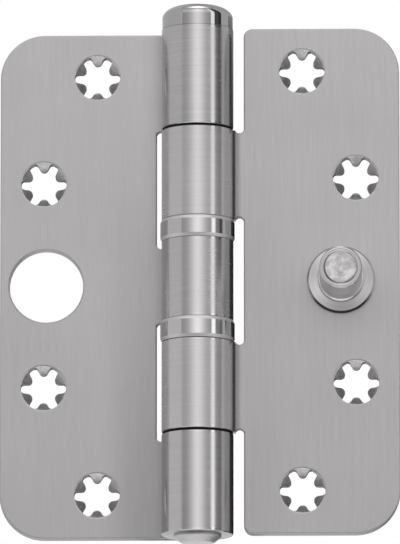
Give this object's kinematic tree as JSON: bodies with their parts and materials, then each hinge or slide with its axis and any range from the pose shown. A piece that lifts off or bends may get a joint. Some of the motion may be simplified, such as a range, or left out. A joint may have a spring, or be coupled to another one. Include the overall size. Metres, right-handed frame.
{
  "type": "round-corner butt hinge",
  "caption": "Stainless steel butt hinge with round corners, a ball-bearing barrel, star-shaped screw holes and a security stud that enters a hole in the other leaf.",
  "frame": {"origin": "on the pin axis, at half the height of the leaves", "axes": "+Z along the pin towards the cap, +Y towards the backs of the leaves, which are the mounting faces, and +X from the pin across the door leaf"},
  "size_m": [0.089, 0.0258, 0.121],
  "materials": {
    "brushed_sheet": "stainless sheet, leaves brushed along the pin axis, knuckles brushed round it",
    "turned_steel": "stainless, fine turned rings",
    "polished_steel": "stainless, polished with faint turned rings",
    "bearing_steel": "hardened and ground",
    "cage_brass": "pressed, plain",
    "black_polymer": "moulded, matt"
  },
  "bodies": {
    "frame_side": {"frame_leaf": "brushed_sheet", "hinge_pin": "turned_steel", "top_cap": "polished_steel", "bottom_plug": "turned_steel", "upper_washer": "black_polymer", "lower_washer": "black_polymer", "upper_bearing_shell": "polished_steel", "upper_fixed_race": "bearing_steel", "lower_bearing_shell": "polished_steel", "lower_fixed_race": "bearing_steel"},
    "door_side": {"door_leaf": "brushed_sheet", "security_stud": "turned_steel", "upper_turning_race": "bearing_steel", "lower_turning_race": "bearing_steel"},
    "upper_ball_set": {"upper_balls": "bearing_steel", "upper_ball_cage": "cage_brass"},
    "lower_ball_set": {"lower_balls": "bearing_steel", "lower_ball_cage": "cage_brass"}
  },
  "joints": [
    {"name": "door_leaf_swing", "type": "hinge", "parent": "frame_side", "child": "door_side", "pos_m": [0, 0, 0], "axis": [0, 0, -1], "range_deg": [-115, 180]},
    {"name": "upper_ball_travel", "type": "hinge", "parent": "frame_side", "child": "upper_ball_set", "pos_m": [0, 0, 0.0114], "axis": [0, 0, -1], "range_deg": [-57.5, 90]},
    {"name": "lower_ball_travel", "type": "hinge", "parent": "frame_side", "child": "lower_ball_set", "pos_m": [0, 0, -0.0114], "axis": [0, 0, -1], "range_deg": [-57.5, 90]}
  ],
  "couplings": [
    {"joint": "upper_ball_travel", "follows": "door_leaf_swing", "ratio": 0.5},
    {"joint": "lower_ball_travel", "follows": "door_leaf_swing", "ratio": 0.5}
  ]
}
